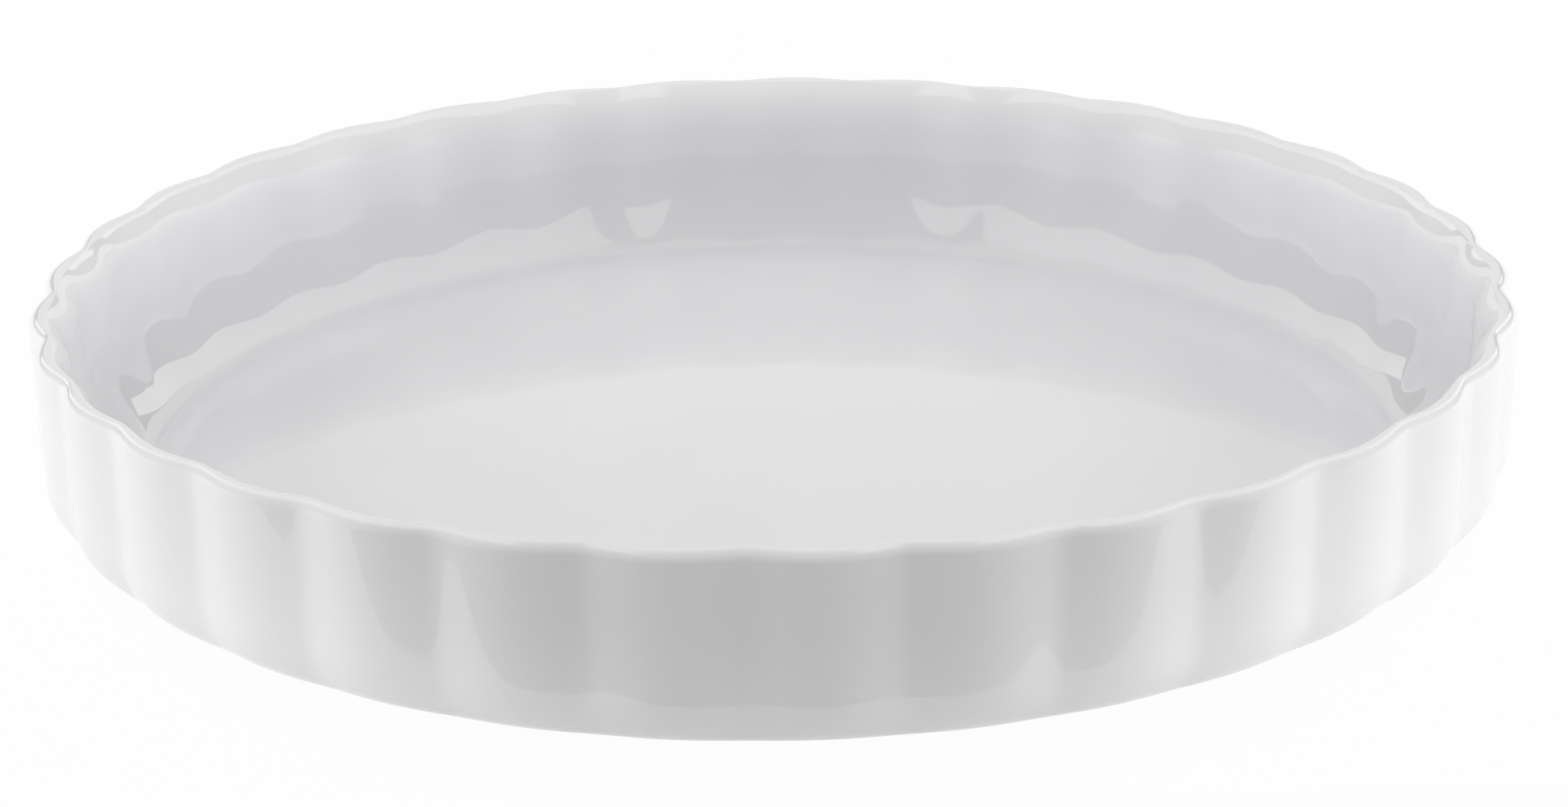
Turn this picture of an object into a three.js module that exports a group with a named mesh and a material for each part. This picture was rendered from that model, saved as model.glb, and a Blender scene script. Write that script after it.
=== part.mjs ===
// Round fluted baking dish in white glazed porcelain.
// Millimetres and degrees, +Z up. The origin is on the axis of the dish, in the plane that
// its foot stands on.
// One fired clay body carries two coats of fired glaze: one over the inside, the lip and the outside,
// and one under the floor. The ring of the foot between them is bare clay.

import * as THREE from 'three';

// Size over all
const rimDiameter = 280; // across the crests of the flutes, at the lip
const dishHeight = 39; // from the foot's plane to the top of the lip

// Section of the finished dish, glaze included
const lipRadius = 2; // where the wall rolls over
const shoulderRadius = 10; // the gentler curve from the lip down to the inner wall
const shoulderLean = 45; // lean of the inner side, away from upright, where the lip runs into the shoulder
const wallFlare = 1.1; // lean of the wall away from upright
const floorThickness = 4.5;
const baseCornerRadius = 12.5; // outside, where the wall turns under
const coveRadius = 25; // inside, where the wall runs down towards the floor
const filletRadius = 6; // between the cove and the floor
const filletLean = 33; // lean of the inside, away from level, where the cove runs into the fillet

// Flutes, pressed through the whole wall, shallower and softer inside
const fluteCount = 33;
const fluteDepth = 1.8; // outside, from crest to valley
const innerFluteDepth = 1;
const fluteProud = 0.7; // how far a crest stands outside the smooth circle that the flutes die out in
const innerFluteProud = 0.5;
const valleyRounding = 0.3; // 0 would leave a sharp crease between two flutes
const innerValleyRounding = 1;

// Foot ring
const footHeight = 1.2; // below the glazed underside
const footWidth = 4; // of the face that stands on the table
const footInset = 6; // from the end of the base corner to the foot's outer edge
const footDraft = 0.6; // each side of the foot leans by this much

// Glaze
const glazeThickness = 0.4;
const glazeMargin = 1; // bare clay left between the glaze's edge and the foot
const bondGap = 0.05; // between the clay and the glaze that is fired on it

// Facets
const stepsPerFlute = 4;
const lipSteps = 2; // from the outer wall to the top of the lip, and on to the shoulder
const shoulderSteps = 3;
const cornerSteps = 4;
const coveSteps = 6;
const filletSteps = 2;

// Places that follow from the sizes above
const flare = THREE.MathUtils.degToRad(wallFlare);
const straightUp = Math.PI / 2;
const straightDown = -Math.PI / 2;
const clayInset = glazeThickness + bondGap;
const columns = fluteCount * stepsPerFlute;

const lipEnd = Math.PI - THREE.MathUtils.degToRad(shoulderLean);
const wallTop = Math.PI - flare;
const lipCentre = {
  r: rimDiameter / 2 - fluteProud - lipRadius,
  z: dishHeight - lipRadius,
};
const shoulderCentre = {
  r: lipCentre.r + (lipRadius - shoulderRadius) * Math.cos(lipEnd),
  z: lipCentre.z + (lipRadius - shoulderRadius) * Math.sin(lipEnd),
};
const floorTop = footHeight + floorThickness;
const filletStart = straightDown + THREE.MathUtils.degToRad(filletLean);
const filletDepth = coveRadius - filletRadius;
const coveHeight = filletRadius - filletDepth * Math.sin(filletStart);
const cornerCentre = centreBelow(lipCentre, lipRadius - baseCornerRadius, footHeight + baseCornerRadius);
const coveCentre = centreBelow(shoulderCentre, -shoulderRadius - coveRadius, floorTop + coveHeight);
const filletCentre = {
  r: coveCentre.r + filletDepth * Math.cos(filletStart),
  z: floorTop + filletRadius,
};

const footOuterRadius = cornerCentre.r - footInset;
const footInnerRadius = footOuterRadius - footWidth;

// The centre, at height z, of an arc that runs into the wall: a line parallel to the wall at this
// offset outwards from the centre of an arc above holds it.
function centreBelow(above, offset, z) {
  const drop = above.z - offset * Math.sin(flare) - z;
  return { r: above.r + offset * Math.cos(flare) - drop * Math.tan(flare), z };
}

// Profile points, each with how strongly the outer and the inner flutes show there: 1 is their full depth.
function arc(centre, radius, from, to, steps, flutesAt) {
  return Array.from({ length: steps + 1 }, (_, step) => {
    const share = step / steps;
    const angle = THREE.MathUtils.lerp(from, to, share);
    return {
      r: centre.r + radius * Math.cos(angle),
      z: centre.z + radius * Math.sin(angle),
      ...flutesAt(share),
    };
  });
}

function eased(share) {
  return THREE.MathUtils.smoothstep(share, 0, 1);
}

function smooth(r, z) {
  return { r, z, outer: 0, inner: 0 };
}

// Outside, lip and inside of the dish from the base corner to the floor, drawn inset into the material.
function dishPath(inset) {
  const rising = (share) => ({ outer: eased(share), inner: 0 });
  const full = () => ({ outer: 1, inner: 0 });
  const turning = (share) => ({ outer: 1 - eased(share), inner: eased(share) });
  const within = () => ({ outer: 0, inner: 1 });
  const fading = (share) => ({ outer: 0, inner: 1 - share * share });
  const plain = () => ({ outer: 0, inner: 0 });
  const tip = arc(lipCentre, lipRadius - inset, straightUp, lipEnd, lipSteps, turning);
  const shoulder = arc(shoulderCentre, shoulderRadius - inset, lipEnd, wallTop, shoulderSteps, within);
  const fillet = arc(filletCentre, filletRadius + inset, filletStart, straightDown, filletSteps, plain);
  return [
    ...arc(cornerCentre, baseCornerRadius - inset, straightDown, -flare, cornerSteps, rising),
    ...arc(lipCentre, lipRadius - inset, -flare, straightUp, lipSteps, full),
    ...tip.slice(1),
    ...shoulder.slice(1),
    ...arc(coveCentre, coveRadius + inset, -flare, filletStart, coveSteps, fading),
    ...fillet.slice(1),
  ];
}

function floorCentre(inset) {
  return smooth(0, floorTop - inset);
}

// How far flutes stand outside their smooth circle at this angle round the axis.
function fluteOffset(angle, proud, depth, rounding) {
  const lobe = Math.cos(angle * fluteCount / 2);
  const crest = Math.hypot(1, rounding);
  const sunk = (crest - Math.hypot(lobe, rounding)) / (crest - rounding);
  return proud - depth * sunk;
}

// A closed body swept round the axis from a profile that starts and ends on the axis.
function sweep(profile) {
  const [first, ...rings] = profile;
  const last = rings.pop();
  const positions = [0, 0, first.z, 0, 0, last.z];
  for (const { r, z, outer, inner } of rings) {
    for (let column = 0; column < columns; column++) {
      const angle = 2 * Math.PI * column / columns;
      const outerFlute = outer * fluteOffset(angle, fluteProud, fluteDepth, valleyRounding);
      const innerFlute = inner * fluteOffset(angle, innerFluteProud, innerFluteDepth, innerValleyRounding);
      const radius = r + outerFlute + innerFlute;
      positions.push(radius * Math.cos(angle), radius * Math.sin(angle), z);
    }
  }
  const vertex = (ring, column) => 2 + ring * columns + column % columns;
  const place = (index) => new THREE.Vector3().fromArray(positions, 3 * index);
  const span = (from, to) => place(from).distanceTo(place(to));
  const indices = [];
  for (let column = 0; column < columns; column++) {
    indices.push(0, vertex(0, column + 1), vertex(0, column));
    for (let ring = 0; ring + 1 < rings.length; ring++) {
      const [a, b] = [vertex(ring, column), vertex(ring, column + 1)];
      const [c, d] = [vertex(ring + 1, column + 1), vertex(ring + 1, column)];
      const shorter = span(a, c) < span(b, d) ? [a, b, c, a, c, d] : [a, b, d, b, c, d];
      indices.push(...shorter);
    }
    indices.push(vertex(rings.length - 1, column), vertex(rings.length - 1, column + 1), 1);
  }
  const geometry = new THREE.BufferGeometry();
  geometry.setAttribute('position', new THREE.Float32BufferAttribute(positions, 3));
  geometry.setIndex(indices);
  geometry.computeVertexNormals();
  return geometry;
}

// Pressed and fired clay, with the foot ring that it stands on.
function clayProfile() {
  const underside = footHeight + clayInset;
  return [
    smooth(0, underside),
    smooth(footInnerRadius - footDraft, underside),
    smooth(footInnerRadius, 0),
    smooth(footOuterRadius, 0),
    smooth(footOuterRadius + footDraft, underside),
    ...dishPath(clayInset),
    floorCentre(clayInset),
  ];
}

// Glaze over the outside, the lip and the inside: its clay side, its edge under the dish, its free side.
function coatProfile() {
  const edgeRadius = footOuterRadius + footDraft + glazeMargin;
  const claySide = [
    smooth(edgeRadius, footHeight + glazeThickness),
    ...dishPath(glazeThickness),
    floorCentre(glazeThickness),
  ];
  const freeSide = [smooth(edgeRadius, footHeight), ...dishPath(0), floorCentre(0)];
  return [...claySide.reverse(), ...freeSide];
}

// Glaze under the floor, inside the foot ring.
function undersideProfile() {
  const edgeRadius = footInnerRadius - footDraft - glazeMargin;
  return [
    smooth(0, footHeight),
    smooth(edgeRadius, footHeight),
    smooth(edgeRadius, footHeight + glazeThickness),
    smooth(0, footHeight + glazeThickness),
  ];
}

function part(name, profile, look) {
  const mesh = new THREE.Mesh(sweep(profile), new THREE.MeshStandardMaterial(look));
  mesh.name = name;
  return mesh;
}

const fired = { color: 0xe9e4da, roughness: 0.85, metalness: 0 };
const glazed = { color: 0xf3f3f5, roughness: 0.08, metalness: 0 };

const dish = new THREE.Group();
dish.add(part('clay_body', clayProfile(), fired));
dish.add(part('glaze_coat', coatProfile(), glazed));
dish.add(part('underside_glaze', undersideProfile(), glazed));

export default dish;
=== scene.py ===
import math

import bpy
import numpy as np
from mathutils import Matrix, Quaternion, Vector


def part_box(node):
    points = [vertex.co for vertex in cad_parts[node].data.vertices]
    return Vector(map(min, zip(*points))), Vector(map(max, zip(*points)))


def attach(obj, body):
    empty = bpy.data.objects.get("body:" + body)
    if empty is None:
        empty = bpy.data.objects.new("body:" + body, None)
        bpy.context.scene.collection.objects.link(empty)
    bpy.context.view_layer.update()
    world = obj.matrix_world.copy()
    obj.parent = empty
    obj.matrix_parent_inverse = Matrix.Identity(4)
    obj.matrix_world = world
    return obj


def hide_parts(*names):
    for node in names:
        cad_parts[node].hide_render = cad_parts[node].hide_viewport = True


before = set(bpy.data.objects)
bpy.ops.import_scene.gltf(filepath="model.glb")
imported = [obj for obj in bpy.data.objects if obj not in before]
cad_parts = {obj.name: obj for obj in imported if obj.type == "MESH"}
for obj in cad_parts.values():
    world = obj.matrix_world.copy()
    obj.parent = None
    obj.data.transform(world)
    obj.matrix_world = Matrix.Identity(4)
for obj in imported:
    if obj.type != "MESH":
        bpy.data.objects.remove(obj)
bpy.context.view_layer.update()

# Round fluted baking dish in white glazed porcelain. Metres, +Z up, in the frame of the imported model.
MM = 0.001
coat_low, coat_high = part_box("glaze_coat")

# Section of the finished dish, glaze included
RIM_RADIUS = coat_high.x  # a flute's crest lies on +X
DISH_HEIGHT = coat_high.z
FOOT_HEIGHT = coat_low.z  # the glaze stops above the foot's plane
LIP_RADIUS = 2 * MM
SHOULDER_RADIUS = 10 * MM
LIP_END = math.radians(180 - 45)
WALL_FLARE = math.radians(1.1)
FLOOR_THICKNESS = 4.5 * MM
BASE_CORNER_RADIUS = 12.5 * MM
COVE_RADIUS = 25 * MM
FILLET_RADIUS = 6 * MM
FILLET_LEAN = math.radians(33)

# Flutes
FLUTE_COUNT = 33
FLUTE_DEPTH = 1.8 * MM
INNER_FLUTE_DEPTH = 1 * MM
FLUTE_PROUD = 0.7 * MM
INNER_FLUTE_PROUD = 0.5 * MM
VALLEY_ROUNDING = 0.3
INNER_VALLEY_ROUNDING = 1

# Foot ring
FOOT_WIDTH = 4 * MM
FOOT_INSET = 6 * MM
FOOT_DRAFT = 0.6 * MM
FOOT_EDGE_RADIUS = 0.6 * MM

# Glaze
GLAZE_THICKNESS = 0.4 * MM
GLAZE_MARGIN = 1 * MM
BOND_GAP = 0.05 * MM
EDGE_WANDER = 0.3 * MM  # how far the wiped edge of the glaze strays from a circle

# Fineness of the meshes
COLUMNS = FLUTE_COUNT * 28
ARC_STEPS = 16
WALL_STEPS = 5
EDGE_STEPS = 5
FLOOR_STEPS = 6

# Places that follow from the sizes above
LIP_R = RIM_RADIUS - FLUTE_PROUD - LIP_RADIUS
LIP_Z = DISH_HEIGHT - LIP_RADIUS
SHOULDER_R = LIP_R + (LIP_RADIUS - SHOULDER_RADIUS) * math.cos(LIP_END)
SHOULDER_Z = LIP_Z + (LIP_RADIUS - SHOULDER_RADIUS) * math.sin(LIP_END)
STRAIGHT_UP = math.pi / 2
STRAIGHT_DOWN = -math.pi / 2
ANGLES = np.arange(COLUMNS) * 2 * math.pi / COLUMNS


def centre_below(above_r, above_z, offset, z):
    """Radius of the centre, at height z, of an arc into the wall, this far outside the centre above."""
    drop = above_z - offset * math.sin(WALL_FLARE) - z
    return above_r + offset * math.cos(WALL_FLARE) - drop * math.tan(WALL_FLARE)


CORNER_Z = FOOT_HEIGHT + BASE_CORNER_RADIUS
CORNER_R = centre_below(LIP_R, LIP_Z, LIP_RADIUS - BASE_CORNER_RADIUS, CORNER_Z)
FLOOR_Z = FOOT_HEIGHT + FLOOR_THICKNESS
FILLET_START = STRAIGHT_DOWN + FILLET_LEAN
FILLET_DEPTH = COVE_RADIUS - FILLET_RADIUS
FILLET_Z = FLOOR_Z + FILLET_RADIUS
COVE_Z = FILLET_Z - FILLET_DEPTH * math.sin(FILLET_START)
COVE_R = centre_below(SHOULDER_R, SHOULDER_Z, -SHOULDER_RADIUS - COVE_RADIUS, COVE_Z)
FILLET_R = COVE_R + FILLET_DEPTH * math.cos(FILLET_START)
FOOT_OUTER_RADIUS = CORNER_R - FOOT_INSET
FOOT_INNER_RADIUS = FOOT_OUTER_RADIUS - FOOT_WIDTH


# Profiles: each row is radius, height, strength of the outer flutes, strength of the inner flutes,
# stray of the glaze's edge, thinness of the glaze
def ease(share):
    return share * share * (3 - 2 * share)


def rows(r, z, outer=0.0, inner=0.0, stray=0.0, thin=0.0):
    columns = [np.atleast_1d(value).astype(float) for value in (r, z, outer, inner, stray, thin)]
    return np.stack(np.broadcast_arrays(*columns), axis=-1)


def arc(r, z, radius, start, end, steps, outer=0.0, inner=0.0, stray=0.0, thin=0.0):
    angle = np.linspace(start, end, steps + 1)
    return rows(r + radius * np.cos(angle), z + radius * np.sin(angle), outer, inner, stray, thin)


def between(first, last, steps):
    """Rows between two others, without the two."""
    share = np.linspace(0, 1, steps + 1)[1:-1, None]
    return first + (last - first) * share


def dish_path(inset):
    """Outside, lip and inside from the base corner to the floor's centre, drawn inset into the material."""
    share = np.linspace(0, 1, ARC_STEPS + 1)
    eased = ease(share)
    corner = arc(
        CORNER_R, CORNER_Z, BASE_CORNER_RADIUS - inset, STRAIGHT_DOWN, -WALL_FLARE, ARC_STEPS,
        eased,
    )
    roll = arc(LIP_R, LIP_Z, LIP_RADIUS - inset, -WALL_FLARE, STRAIGHT_UP, ARC_STEPS, 1, 0, 0, eased)
    tip = arc(LIP_R, LIP_Z, LIP_RADIUS - inset, STRAIGHT_UP, LIP_END, ARC_STEPS, 1 - eased, eased, 0, 1)
    shoulder = arc(
        SHOULDER_R, SHOULDER_Z, SHOULDER_RADIUS - inset, LIP_END, math.pi - WALL_FLARE, ARC_STEPS,
        0, 1, 0, 1 - eased,
    )
    cove = arc(
        COVE_R, COVE_Z, COVE_RADIUS + inset, -WALL_FLARE, FILLET_START, ARC_STEPS,
        0, 1 - share ** 2,
    )
    fillet = arc(FILLET_R, FILLET_Z, FILLET_RADIUS + inset, FILLET_START, STRAIGHT_DOWN, ARC_STEPS)
    floor = rows(np.linspace(fillet[-1, 0], 0, FLOOR_STEPS + 1)[1:], fillet[-1, 1])
    return np.concatenate([
        corner,
        between(corner[-1], roll[0], WALL_STEPS),
        roll,
        tip[1:],
        shoulder[1:],
        between(shoulder[-1], cove[0], WALL_STEPS),
        cove,
        fillet[1:],
        floor,
    ])


def coat_profile():
    """Glaze over the outside, the lip and the inside: its clay side, its edge and its free side."""
    edge = GLAZE_THICKNESS / 2
    edge_r = FOOT_OUTER_RADIUS + FOOT_DRAFT + GLAZE_MARGIN + edge
    bead = arc(edge_r, FOOT_HEIGHT + edge, edge, STRAIGHT_UP, 1.5 * math.pi, EDGE_STEPS, stray=1)
    return np.concatenate([dish_path(GLAZE_THICKNESS)[::-1], bead, dish_path(0)])


def clay_profile():
    """Pressed and fired clay, from the middle of its underside over the foot and the lip to its floor."""
    inset = GLAZE_THICKNESS + BOND_GAP
    under = FOOT_HEIGHT + inset
    edge = FOOT_EDGE_RADIUS
    inner_edge = arc(FOOT_INNER_RADIUS + edge, edge, edge, math.pi, 1.5 * math.pi, EDGE_STEPS)
    outer_edge = arc(FOOT_OUTER_RADIUS - edge, edge, edge, STRAIGHT_DOWN, 0, EDGE_STEPS)
    return np.concatenate([
        rows(np.linspace(0, FOOT_INNER_RADIUS - FOOT_DRAFT, FLOOR_STEPS), under),
        inner_edge,
        outer_edge,
        rows(FOOT_OUTER_RADIUS + FOOT_DRAFT, under),
        dish_path(inset),
    ])


def underside_profile():
    """Glaze under the floor, inside the foot ring."""
    edge = GLAZE_THICKNESS / 2
    edge_r = FOOT_INNER_RADIUS - FOOT_DRAFT - GLAZE_MARGIN - edge
    flat = np.linspace(0, edge_r, FLOOR_STEPS + 1)[:-1]
    bead = arc(edge_r, FOOT_HEIGHT + edge, edge, STRAIGHT_DOWN, STRAIGHT_UP, EDGE_STEPS, stray=1)
    return np.concatenate([rows(flat, FOOT_HEIGHT), bead, rows(flat[::-1], FOOT_HEIGHT + GLAZE_THICKNESS)])


# Shapes round the axis
def flute_sunk(angle, rounding):
    """0 on the crest of a flute and 1 in the valley between two."""
    crest = math.hypot(1, rounding)
    lobe = np.cos(angle * FLUTE_COUNT / 2)
    return (crest - np.hypot(lobe, rounding)) / (crest - rounding)


def edge_stray(angle):
    """A slow wander round the ring, between -1 and 1."""
    return (np.sin(3 * angle + 0.4) + np.sin(7 * angle + 2.1) + np.sin(16 * angle + 4.4)) / 3


def swept(name, profile):
    """A closed mesh swept round the axis from a profile that starts and ends on it."""
    rings = profile[1:-1]
    sunk = flute_sunk(ANGLES, VALLEY_ROUNDING)
    outer = FLUTE_PROUD - FLUTE_DEPTH * sunk
    inner = INNER_FLUTE_PROUD - INNER_FLUTE_DEPTH * flute_sunk(ANGLES, INNER_VALLEY_ROUNDING)
    stray = EDGE_WANDER * edge_stray(ANGLES)
    radius = rings[:, 0:1] + rings[:, 2:3] * outer + rings[:, 3:4] * inner + rings[:, 4:5] * stray
    height = np.repeat(rings[:, 1:2], COLUMNS, axis=1)
    skin = np.stack([radius * np.cos(ANGLES), radius * np.sin(ANGLES), height], axis=-1).reshape(-1, 3)
    poles = [(0, 0, profile[0, 1]), (0, 0, profile[-1, 1])]
    first, last = len(skin), len(skin) + 1
    column = np.arange(COLUMNS)
    following = (column + 1) % COLUMNS
    starts = np.arange(len(rings) - 1)[:, None] * COLUMNS
    above = starts + COLUMNS
    quads = np.stack([starts + column, starts + following, above + following, above + column], -1)
    end = (len(rings) - 1) * COLUMNS
    faces = [(first, b, a) for a, b in zip(column.tolist(), following.tolist())]
    faces += quads.reshape(-1, 4).tolist()
    faces += [(last, end + a, end + b) for a, b in zip(column.tolist(), following.tolist())]
    mesh = bpy.data.meshes.new(name)
    mesh.from_pydata(np.concatenate([skin, poles]).tolist(), [], faces)
    mesh.polygons.foreach_set("use_smooth", np.ones(len(mesh.polygons), bool))
    thin = np.maximum(rings[:, 5:6], rings[:, 2:3] * (1 - sunk) * CREST_THINNING).reshape(-1)
    mesh.attributes.new(THIN, "FLOAT", "POINT").data.foreach_set("value", np.concatenate([thin, [0, 0]]))
    piece = bpy.data.objects.new(name, mesh)
    bpy.context.scene.collection.objects.link(piece)
    return piece


# Materials
THIN = "glaze_thin"  # 1 where the glaze draws thin over an edge, 0 where it lies thick
CREST_THINNING = 0.35
NOISE_MIDDLE = (0.3, 0.7)  # most of a noise lies in this range

GLAZE_THICK_COLOURS = (0.833, 0.83, 0.846), (0.856, 0.853, 0.868)
GLAZE_THIN_COLOURS = (0.842, 0.838, 0.844), (0.866, 0.862, 0.866)
GLAZE_MOTTLE = {"scale": 28, "detail": 3}
GLAZE_POLISH = {"scale": 75, "detail": 2}
GLAZE_ROUGHNESS = (0.015, 0.04)
GLAZE_FLOW = {"scale": 55, "detail": 1}
GLAZE_FLOW_HEIGHT = 0.03 * MM
GLAZE_PEEL = {"scale": 600, "detail": 1}
GLAZE_PEEL_HEIGHT = 0.002 * MM
GLAZE_IOR = 1.5

CLAY_COLOURS = (0.74, 0.705, 0.64), (0.82, 0.79, 0.73)
CLAY_GRAIN = {"scale": 1400, "detail": 4, "roughness": 0.7}
CLAY_GRAIN_RANGE = (0.35, 0.7)
CLAY_GRAIN_HEIGHT = 0.1 * MM
CLAY_ROUGHNESS = (0.7, 0.9)
SCUFF_COLOURS = (0.62, 0.6, 0.57), (0.78, 0.755, 0.7)
SCUFFS = {"scale": 240, "detail": 5, "roughness": 0.65}
SCUFF_RANGE = (0.42, 0.62)


def new_material(name):
    material = bpy.data.materials.new(name)
    material.use_nodes = True
    nodes = material.node_tree.nodes
    shader = nodes["Principled BSDF"]
    return material, nodes, material.node_tree.links, shader


def noise(nodes, links, place, scale, detail, roughness=0.5):
    texture = nodes.new("ShaderNodeTexNoise")
    texture.inputs["Scale"].default_value = scale
    texture.inputs["Detail"].default_value = detail
    texture.inputs["Roughness"].default_value = roughness
    links.new(place, texture.inputs["Vector"])
    return texture.outputs["Fac"]


def ramp(nodes, links, source, places, colours):
    node = nodes.new("ShaderNodeValToRGB")
    for element, place, colour in zip(node.color_ramp.elements, places, colours):
        element.position = place
        element.color = (*colour, 1)
    links.new(source, node.inputs["Fac"])
    return node.outputs["Color"]


def spread(nodes, links, source, limits):
    """Carries the middle of a noise over to the range between the limits."""
    node = nodes.new("ShaderNodeMapRange")
    node.inputs["From Min"].default_value, node.inputs["From Max"].default_value = NOISE_MIDDLE
    node.inputs["To Min"].default_value, node.inputs["To Max"].default_value = limits
    links.new(source, node.inputs["Value"])
    return node.outputs["Result"]


def mixed(nodes, links, factor, first, second):
    node = nodes.new("ShaderNodeMix")
    node.data_type = "RGBA"
    links.new(factor, node.inputs["Factor"])
    links.new(first, node.inputs["A"])
    links.new(second, node.inputs["B"])
    return node.outputs["Result"]


def bump(nodes, links, height, distance, below=None):
    node = nodes.new("ShaderNodeBump")
    node.inputs["Distance"].default_value = distance
    node.inputs["Strength"].default_value = 1
    links.new(height, node.inputs["Height"])
    if below is not None:
        links.new(below, node.inputs["Normal"])
    return node.outputs["Normal"]


def glaze_material():
    """Smooth white glaze: cooler where it lies thick, warmer where it thins over the lip and the crests."""
    material, nodes, links, shader = new_material("white_glaze")
    place = nodes.new("ShaderNodeTexCoord").outputs["Object"]
    mottle = noise(nodes, links, place, **GLAZE_MOTTLE)
    thick = ramp(nodes, links, mottle, NOISE_MIDDLE, GLAZE_THICK_COLOURS)
    thin = ramp(nodes, links, mottle, NOISE_MIDDLE, GLAZE_THIN_COLOURS)
    thinness = nodes.new("ShaderNodeAttribute")
    thinness.attribute_name = THIN
    links.new(mixed(nodes, links, thinness.outputs["Fac"], thick, thin), shader.inputs["Base Color"])
    polish = noise(nodes, links, place, **GLAZE_POLISH)
    links.new(spread(nodes, links, polish, GLAZE_ROUGHNESS), shader.inputs["Roughness"])
    flow = bump(nodes, links, noise(nodes, links, place, **GLAZE_FLOW), GLAZE_FLOW_HEIGHT)
    peel = bump(nodes, links, noise(nodes, links, place, **GLAZE_PEEL), GLAZE_PEEL_HEIGHT, flow)
    links.new(peel, shader.inputs["Normal"])
    shader.inputs["IOR"].default_value = GLAZE_IOR
    return material


def clay_material():
    """Bare fired clay: matt, grainy, and greyed where the foot slides on shelves."""
    material, nodes, links, shader = new_material("fired_clay")
    place = nodes.new("ShaderNodeTexCoord").outputs["Object"]
    grain = noise(nodes, links, place, **CLAY_GRAIN)
    clean = ramp(nodes, links, grain, CLAY_GRAIN_RANGE, CLAY_COLOURS)
    scuffs = noise(nodes, links, place, **SCUFFS)
    scuffed = ramp(nodes, links, scuffs, SCUFF_RANGE, SCUFF_COLOURS)
    height = nodes.new("ShaderNodeSeparateXYZ")
    links.new(place, height.inputs["Vector"])
    on_foot = nodes.new("ShaderNodeMapRange")
    on_foot.inputs["From Min"].default_value = FOOT_EDGE_RADIUS / 2
    on_foot.inputs["From Max"].default_value = 0
    links.new(height.outputs["Z"], on_foot.inputs["Value"])
    links.new(mixed(nodes, links, on_foot.outputs["Result"], clean, scuffed), shader.inputs["Base Color"])
    links.new(spread(nodes, links, scuffs, CLAY_ROUGHNESS), shader.inputs["Roughness"])
    links.new(bump(nodes, links, grain, CLAY_GRAIN_HEIGHT), shader.inputs["Normal"])
    return material


def add_dish():
    looks = {"fired_clay": clay_material(), "white_glaze": glaze_material()}
    for node, profile, slot in (
        ("clay_body", clay_profile(), "fired_clay"),
        ("glaze_coat", coat_profile(), "white_glaze"),
        ("underside_glaze", underside_profile(), "white_glaze"),
    ):
        piece = swept("fine_" + node, profile)
        piece.data.materials.append(looks[slot])
        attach(piece, "root")
        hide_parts(node)


# Studio
FLOOR_SIZE = 4.0
FLOOR_COLOUR = (0.85, 0.85, 0.85, 1)
FLOOR_SHOWN_WHITE = 0.97  # share of plain white in the floor as seen; the rest shows its light and shadow
DARK_COLOUR = (0.2, 0.2, 0.2, 1)
CARD_EDGE = -0.15  # painted shade: a dark card stands for the shaded table on the camera's side and lies on the floor up to here
CARD_SIZE = 1.6
CARD_HEIGHT = 0.5 * MM
ROOM_LIGHT = 0.31
SOFTBOX_HEIGHT = 1.0
# Corners of the right softbox: it tapers towards the camera and draws away to the side at the back
SOFTBOX_OUTLINE = ((0.43, -0.75), (0.52, -0.72), (1.79, 3.0), (1.2, 3.0), (0.19, 0.1))
LEFT_SOFTBOX_SHIFT = -0.08  # the left one is the right one mirrored, and this much further out
SOFTBOX_RADIANCE = 1.6
CEILING_HEIGHT = 1.02
CEILING_ACROSS = (-5, 5)
CEILING_ALONG = (-1.6, 0.15)
WING_ACROSS = (0.9, 5)  # the ceiling goes on to either side of the softboxes
WING_ALONG = (0.15, 5)
FRONT_FILL = {"elevation": math.radians(10), "distance": 1.3, "size": (1.2, 0.3), "radiance": 2.6}
HIGH_FILL = {"elevation": math.radians(24), "distance": 1.05, "size": (0.85, 0.3), "radiance": 3.2}
LOW_FILL = {"elevation": math.radians(2), "distance": 1.05, "size": (0.85, 0.1)}
LOW_FILL_RADIANCE = {"left": 9.5, "right": 11.5}
LOW_FILL_AZIMUTH = math.radians(70)  # to either side, from the camera's
HIGH_FILL_AZIMUTH = math.radians(95)


def plane(name, x, y, z):
    """A level rectangle over the ranges x and y."""
    corners = [(x[0], y[0], z), (x[1], y[0], z), (x[1], y[1], z), (x[0], y[1], z)]
    mesh = bpy.data.meshes.new(name)
    mesh.from_pydata(corners, [], [(0, 1, 2, 3)])
    flat = bpy.data.objects.new(name, mesh)
    bpy.context.scene.collection.objects.link(flat)
    return flat


def seen_directly(nodes, links):
    """1 for rays from the camera, in a mirror or through glass, 0 for the light that falls on things."""
    path = nodes.new("ShaderNodeLightPath")
    either = nodes.new("ShaderNodeMath")
    either.operation = "MAXIMUM"
    links.new(path.outputs["Is Camera Ray"], either.inputs[0])
    links.new(path.outputs["Is Glossy Ray"], either.inputs[1])
    any_of = nodes.new("ShaderNodeMath")
    any_of.operation = "MAXIMUM"
    links.new(either.outputs[0], any_of.inputs[0])
    links.new(path.outputs["Is Transmission Ray"], any_of.inputs[1])
    return any_of.outputs[0]


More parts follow.
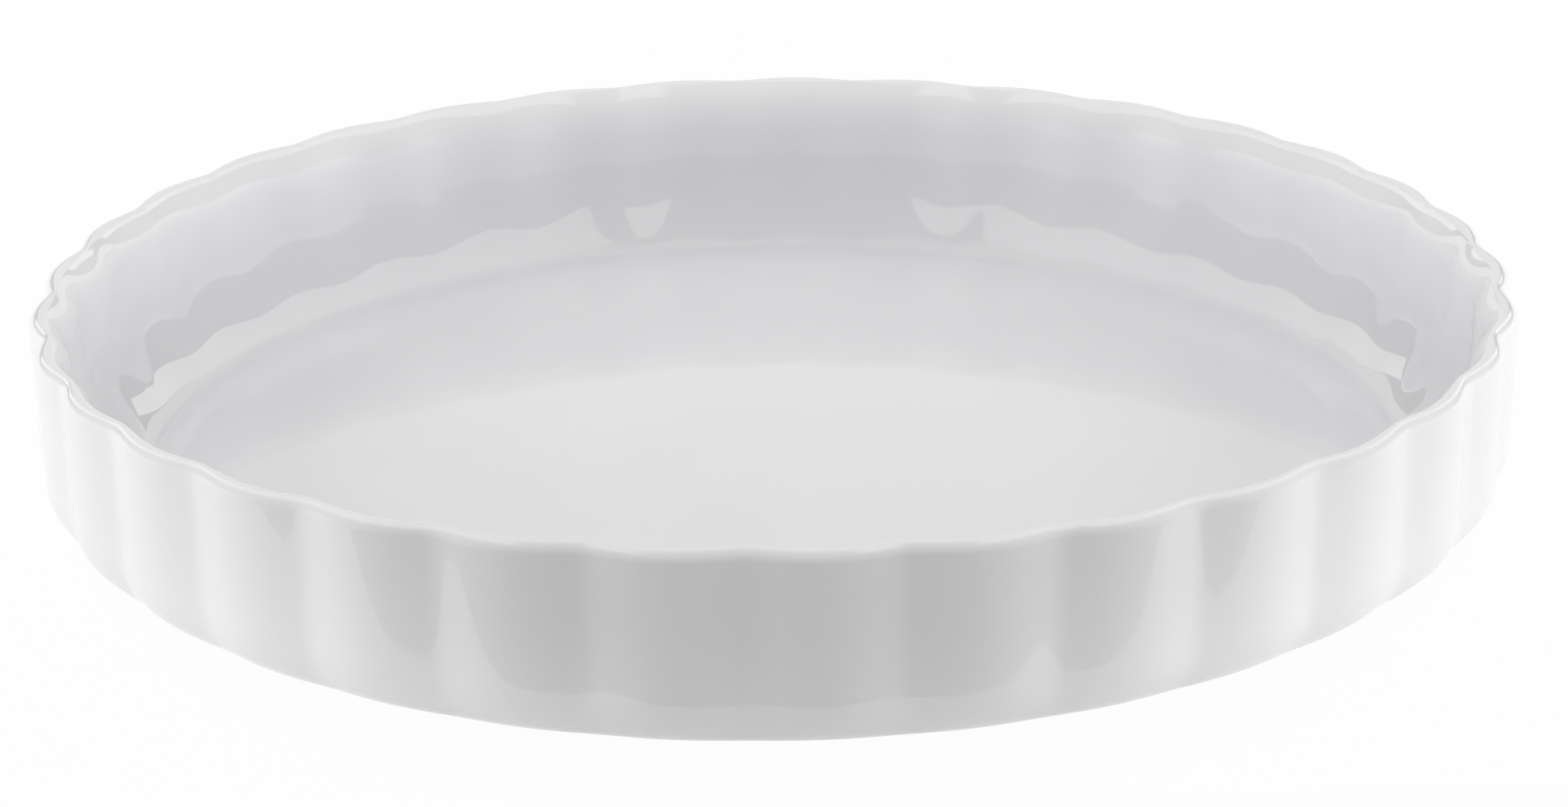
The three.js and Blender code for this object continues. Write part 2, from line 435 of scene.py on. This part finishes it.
def floor_material():
    material = bpy.data.materials.new("pale_floor")
    material.use_nodes = True
    nodes, links = material.node_tree.nodes, material.node_tree.links
    nodes.clear()
    lit = nodes.new("ShaderNodeBsdfDiffuse")
    lit.inputs["Color"].default_value = FLOOR_COLOUR
    white = nodes.new("ShaderNodeEmission")
    share = nodes.new("ShaderNodeMath")
    share.operation = "MULTIPLY"
    share.inputs[1].default_value = FLOOR_SHOWN_WHITE
    links.new(seen_directly(nodes, links), share.inputs[0])
    mix = nodes.new("ShaderNodeMixShader")
    links.new(share.outputs[0], mix.inputs["Fac"])
    links.new(lit.outputs["BSDF"], mix.inputs[1])
    links.new(white.outputs["Emission"], mix.inputs[2])
    output = nodes.new("ShaderNodeOutputMaterial")
    links.new(mix.outputs["Shader"], output.inputs["Surface"])
    return material


def dark_material():
    material, *_, shader = new_material("dark_card")
    shader.inputs["Base Color"].default_value = DARK_COLOUR
    shader.inputs["Roughness"].default_value = 1
    shader.inputs["Specular IOR Level"].default_value = 0
    return material


def add_dark(card, material):
    """A dark surface of the room, which shows in the glaze only."""
    card.data.materials.append(material)
    card.visible_camera = False
    card.visible_diffuse = False
    card.visible_transmission = False
    card.visible_shadow = False
    return card


def add_floor():
    half = FLOOR_SIZE / 2
    floor = plane("studio_floor", (-half, half), (-half, half), 0)
    floor.data.materials.append(floor_material())


def add_dark_room():
    """A dark card before the dish, painted shade for the shaded table there, which dims the dish's bounced
    light too, and the ceiling and the front of the room.
    """
    material = dark_material()
    across, along = (-CARD_SIZE / 2, CARD_SIZE / 2), (CARD_EDGE - CARD_SIZE, CARD_EDGE)
    # painted shade: a dark sheet on the floor where the table lies in shade, seen in the glaze and dimming
    # the light bounced onto the dish
    add_dark(plane("painted_table_shade", across, along, CARD_HEIGHT), material).visible_diffuse = True
    add_dark(plane("dark_ceiling", CEILING_ACROSS, CEILING_ALONG, CEILING_HEIGHT), material)
    for side, sign in (("left", -1), ("right", 1)):
        across = [sign * x for x in WING_ACROSS]
        add_dark(plane(side + "_dark_wing", across, WING_ALONG, CEILING_HEIGHT), material)
    front = add_dark(plane("dark_front", CEILING_ACROSS, (0, CEILING_HEIGHT), 0), material)
    front.location.y = CEILING_ALONG[0]
    front.rotation_euler.x = math.radians(90)


def add_world():
    world = bpy.data.worlds.new("studio")
    world.use_nodes = True
    nodes, links = world.node_tree.nodes, world.node_tree.links
    nodes.clear()
    room = nodes.new("ShaderNodeBackground")
    room.inputs["Strength"].default_value = ROOM_LIGHT
    backdrop = nodes.new("ShaderNodeBackground")
    for background in (room, backdrop):
        background.inputs["Color"].default_value = (1, 1, 1, 1)
    mix = nodes.new("ShaderNodeMixShader")
    links.new(seen_directly(nodes, links), mix.inputs["Fac"])
    links.new(room.outputs["Background"], mix.inputs[1])
    links.new(backdrop.outputs["Background"], mix.inputs[2])
    output = nodes.new("ShaderNodeOutputWorld")
    links.new(mix.outputs["Shader"], output.inputs["Surface"])
    bpy.context.scene.world = world


def from_axis(azimuth, elevation, distance, height):
    """A point this far from the axis at this height, seen from the camera's side at azimuth 0."""
    level = distance * math.cos(elevation)
    rise = distance * math.sin(elevation)
    return Vector((level * math.sin(azimuth), -level * math.cos(azimuth), height + rise))


def aimed(obj, target):
    obj.rotation_mode = "QUATERNION"
    obj.rotation_quaternion = (Vector(target) - obj.location).to_track_quat("-Z", "Y")


def add_lamp(name, location, target, size, radiance):
    light = bpy.data.lights.new(name, "AREA")
    light.shape = "RECTANGLE"
    light.size, light.size_y = size
    light.energy = radiance * math.pi * size[0] * size[1]
    lamp = bpy.data.objects.new(name, light)
    lamp.location = location
    aimed(lamp, target)
    lamp.visible_camera = False
    bpy.context.scene.collection.objects.link(lamp)
    return lamp


def softbox_material():
    material = bpy.data.materials.new("softbox")
    material.use_nodes = True
    nodes, links = material.node_tree.nodes, material.node_tree.links
    nodes.clear()
    glow = nodes.new("ShaderNodeEmission")
    glow.inputs["Strength"].default_value = SOFTBOX_RADIANCE
    output = nodes.new("ShaderNodeOutputMaterial")
    links.new(glow.outputs["Emission"], output.inputs["Surface"])
    return material


def add_softboxes():
    """Two large lights that hang level over the dish and show in its glaze."""
    material = softbox_material()
    for name, sign, shift in (("left_softbox", -1, LEFT_SOFTBOX_SHIFT), ("right_softbox", 1, 0)):
        corners = [(sign * x + shift, y, SOFTBOX_HEIGHT) for x, y in SOFTBOX_OUTLINE]
        mesh = bpy.data.meshes.new(name)
        mesh.from_pydata(corners, [], [range(len(corners))])
        mesh.materials.append(material)
        panel = bpy.data.objects.new(name, mesh)
        bpy.context.scene.collection.objects.link(panel)
        panel.visible_camera = False


def add_fill(name, azimuth, elevation, distance, size, radiance):
    """A soft light from the side that doesn't show in the glaze."""
    place = from_axis(azimuth, elevation, distance, DISH_HEIGHT)
    lamp = add_lamp(name, place, (0, 0, DISH_HEIGHT), size, radiance)
    lamp.visible_glossy = False


# Camera
VIEW_AZIMUTH = math.radians(-0.49)
VIEW_ELEVATION = math.radians(18.62)
VIEW_DISTANCE = 0.8446  # from the middle of the lip's circle
VIEW_AIM = Vector((0.0011, -0.0642, LIP_Z))
VIEW_ROLL = math.radians(-0.825)
VIEW_LENS = 101.91


def add_camera():
    data = bpy.data.cameras.new("photo_camera")
    data.lens = VIEW_LENS
    camera = bpy.data.objects.new("photo_camera", data)
    camera.location = from_axis(VIEW_AZIMUTH, VIEW_ELEVATION, VIEW_DISTANCE, LIP_Z)
    aimed(camera, VIEW_AIM)
    camera.rotation_quaternion = camera.rotation_quaternion @ Quaternion((0, 0, 1), VIEW_ROLL)
    bpy.context.scene.collection.objects.link(camera)
    bpy.context.scene.camera = camera


add_dish()
add_floor()
add_dark_room()
add_world()
add_softboxes()
add_fill("front_fill", 0, **FRONT_FILL)
for side, sign in (("left", -1), ("right", 1)):
    add_fill(side + "_high_fill", sign * HIGH_FILL_AZIMUTH, **HIGH_FILL)
    add_fill(side + "_low_fill", sign * LOW_FILL_AZIMUTH, **LOW_FILL, radiance=LOW_FILL_RADIANCE[side])
add_camera()
bpy.context.scene.view_settings.view_transform = "Standard"
